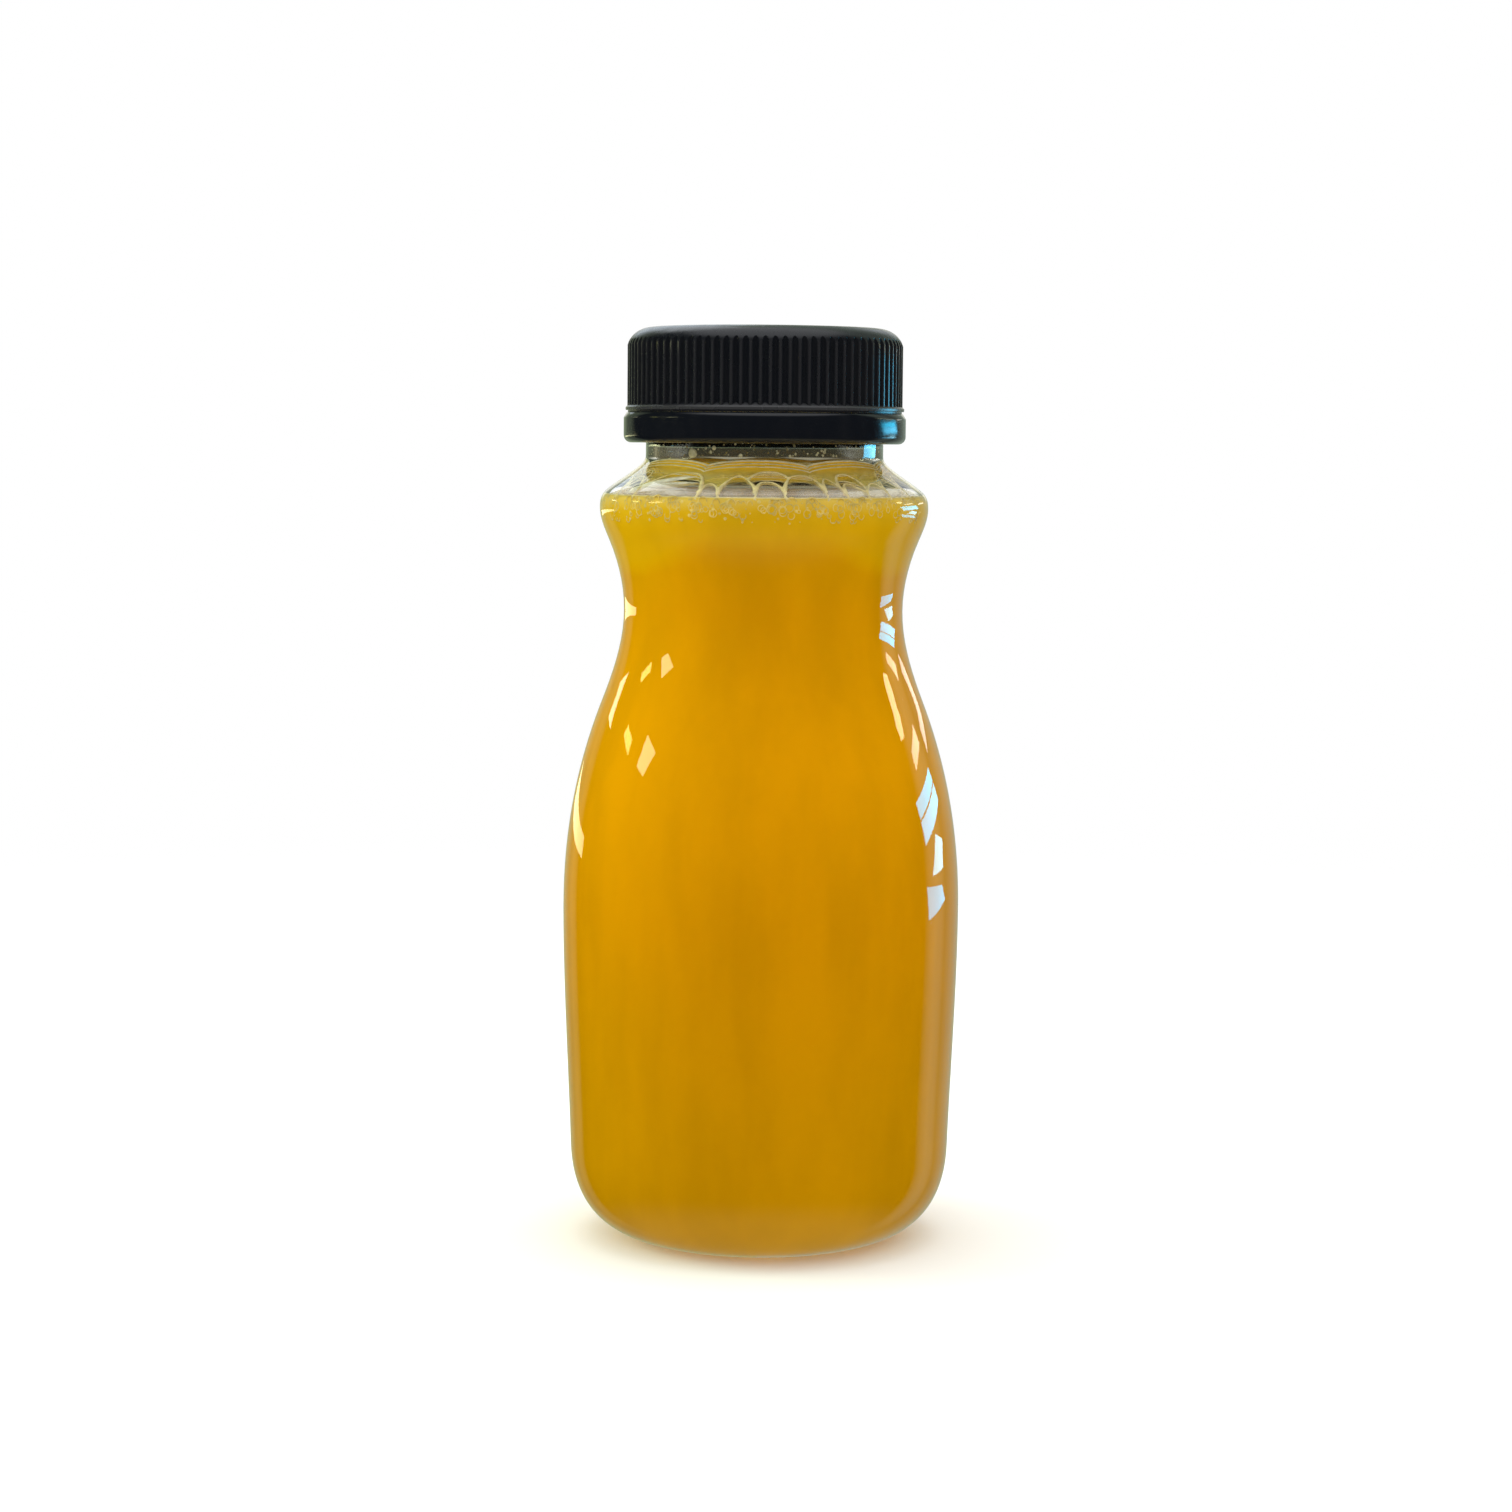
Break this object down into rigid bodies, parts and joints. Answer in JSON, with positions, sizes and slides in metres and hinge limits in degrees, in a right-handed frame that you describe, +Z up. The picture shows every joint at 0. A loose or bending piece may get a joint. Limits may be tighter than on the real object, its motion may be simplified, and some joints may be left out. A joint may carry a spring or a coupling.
{
  "type": "bottle of orange juice",
  "caption": "Small clear plastic bottle with a waist, filled to the shoulder with orange juice under a layer of bubbles, shut with a ribbed black screw cap.",
  "frame": {"origin": "centre of the base, on the surface that the bottle stands on", "axes": "+Z up along the bottle's axis, towards the cap; -Y towards the viewer of the picture, +X to their right"},
  "size_m": [0.0594, 0.0594, 0.1361],
  "materials": {
    "clear_plastic": "clear, thin blown plastic with a wet gloss",
    "orange_juice": "cloudy golden orange liquid",
    "juice_foam": "wet, thin-walled pale yellow bubbles",
    "black_plastic": "satin black moulded plastic"
  },
  "bodies": {
    "root": {"bottle": "clear_plastic", "juice": "orange_juice", "foam": "juice_foam", "cap": "black_plastic", "tamper_band": "black_plastic"}
  },
  "joints": []
}
